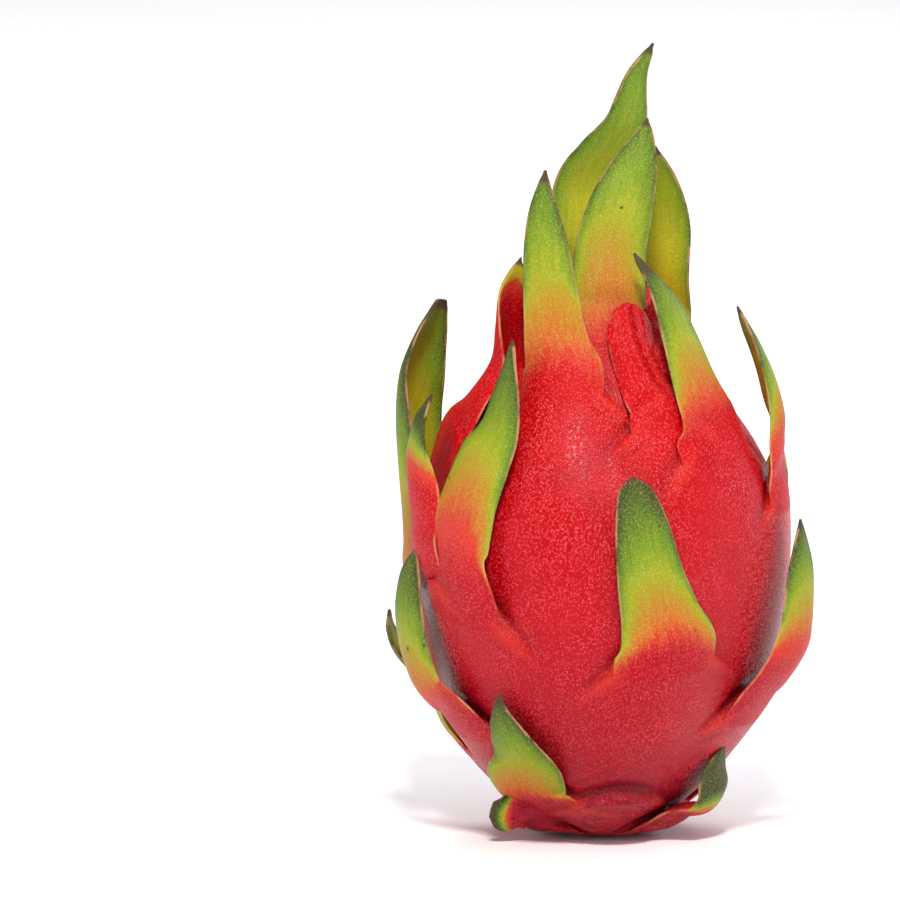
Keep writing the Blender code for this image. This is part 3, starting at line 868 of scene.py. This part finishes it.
def make_backdrop():
    """A pale floor with a low wall all round it: a flat disc, a quarter circle up, and a straight wall,
    as one outline turned round Z."""
    turn = np.linspace(0, math.pi / 2, 16)
    wall = BACKDROP_FLAT + BACKDROP_BEND
    radius = np.concatenate([[0.6, 2.0], BACKDROP_FLAT + BACKDROP_BEND * np.sin(turn), [wall]])[:, None]
    rise = np.concatenate([[0.0, 0.0], BACKDROP_BEND * (1 - np.cos(turn)), [BACKDROP_TOP]])[:, None]
    angle = np.linspace(0, 2 * math.pi, BACKDROP_COLUMNS, endpoint=False)[None]
    rings = np.stack([radius * np.cos(angle), radius * np.sin(angle), rise + 0 * angle], -1)
    quads = ring_quads(len(radius), BACKDROP_COLUMNS)[:, ::-1]
    mesh = bpy.data.meshes.new("backdrop")
    mesh.from_pydata(rings.reshape(-1, 3).tolist(), [], [tuple(range(BACKDROP_COLUMNS)), *quads.tolist()])
    mesh.shade_smooth()
    mesh.materials.append(paper_material())
    floor = bpy.data.objects.new("backdrop", mesh)
    bpy.context.scene.collection.objects.link(floor)


# Softboxes that face the fruit: name, place in metres, breadth, power and colour
FRUIT_MIDDLE = (0.0, 0.0, 0.09)
SOFTBOXES = (
    ("key", (0.0, -0.95, 1.15), 0.2, 18.5, "fffaf6"),
    ("top", (0.0, -0.2, 1.6), 1.3, 5, "f8faff"),
    ("fill_low", (0.2, -1.4, 0.15), 0.8, 2, "fff4ff"),
    ("fill_right", (0.75, -0.7, 1.1), 1.3, 4.5, "fff8ff"),
    ("fill_left", (-1.3, -0.7, 0.5), 1.1, 6, "fff8ff"),
    ("low_right", (1.3, -0.3, 0.3), 0.8, 4, "fff4fa"),
    ("low_left", (-1.3, 0.1, 0.25), 0.8, 3, "fff4fa"),
    ("rim_right", (0.9, 0.8, 0.5), 0.4, 4, "f0ecff"),
    ("back_top", (0.0, 0.9, 1.0), 0.6, 3, "ffffff"),
)
ROOM_TINT = (0.75, 0.86, 1.0, 1.0)
ROOM_LIGHT = 0.06


def add_light(name, place, target, size, power, tint):
    """A square softbox that faces its target."""
    light = bpy.data.lights.new(name, "AREA")
    light.size = size
    light.energy = power
    light.color = colour(tint)[:3]
    lamp = bpy.data.objects.new(name, light)
    bpy.context.scene.collection.objects.link(lamp)
    aim(lamp, place, target)


def aim(thing, place, target):
    """Puts a thing at a place with its -Z towards the target."""
    back = unit(np.array(place, float) - np.array(target, float))
    right = unit(np.cross((0.0, 0.0, 1.0), back))
    up = np.cross(back, right)
    rows = [(*axes, where) for axes, where in zip(np.stack([right, up, back], -1).tolist(), place)]
    thing.matrix_world = Matrix([*rows, (0.0, 0.0, 0.0, 1.0)])


def light_scene():
    """The softboxes, one more for the floor behind the fruit, and a faint light from all round."""
    for name, place, breadth, power, tint in SOFTBOXES:
        add_light(name, place, FRUIT_MIDDLE, breadth, power, tint)
    add_light("floor", (0.0, 1.7, 1.5), (0.0, 1.5, 0.0), 1.4, 29, "ffffff")
    world = bpy.data.worlds.new("studio")
    world.use_nodes = True
    background = world.node_tree.nodes["Background"]
    background.inputs["Color"].default_value = ROOM_TINT
    background.inputs["Strength"].default_value = ROOM_LIGHT
    bpy.context.scene.world = world


# The frame of the picture: its pixels across, how many metres one shows at the fruit, and where in it
# the foot of the fruit's axis lies
FRAME_PIXELS = 900
METRES_A_PIXEL = 0.0002532
FOOT_PIXEL = (600, 831)
CAMERA_HEIGHT_ANGLE = math.radians(8)
CAMERA_DISTANCE = 2.6
SENSOR_WIDTH = 36


def add_camera():
    """A long lens, a little above the fruit, aimed so that the fruit stands right of the middle."""
    camera = bpy.data.cameras.new("camera")
    camera.sensor_width = SENSOR_WIDTH
    camera.lens = SENSOR_WIDTH * CAMERA_DISTANCE / (FRAME_PIXELS * METRES_A_PIXEL)
    back = np.array([0.0, -math.cos(CAMERA_HEIGHT_ANGLE), math.sin(CAMERA_HEIGHT_ANGLE)])
    up = np.array([0.0, math.sin(CAMERA_HEIGHT_ANGLE), math.cos(CAMERA_HEIGHT_ANGLE)])
    middle = FRAME_PIXELS / 2
    target = up * (FOOT_PIXEL[1] - middle) * METRES_A_PIXEL
    target[0] = (middle - FOOT_PIXEL[0]) * METRES_A_PIXEL
    thing = bpy.data.objects.new("camera", camera)
    bpy.context.scene.collection.objects.link(thing)
    aim(thing, tuple(target + back * CAMERA_DISTANCE), tuple(target))
    bpy.context.scene.camera = thing


def main():
    red = rind_material()
    leaf = bract_material()
    named = all_bracts()
    bracts = [*named.values(), *BARE_ROOTS]
    chance = random.Random(SEED + 2)
    make_rind(bracts, red)
    for name, bract in named.items():
        make_bract(bracts, bract, name, chance, leaf)
    make_backdrop()
    light_scene()
    add_camera()
    bpy.context.scene.view_settings.view_transform = "Standard"


main()
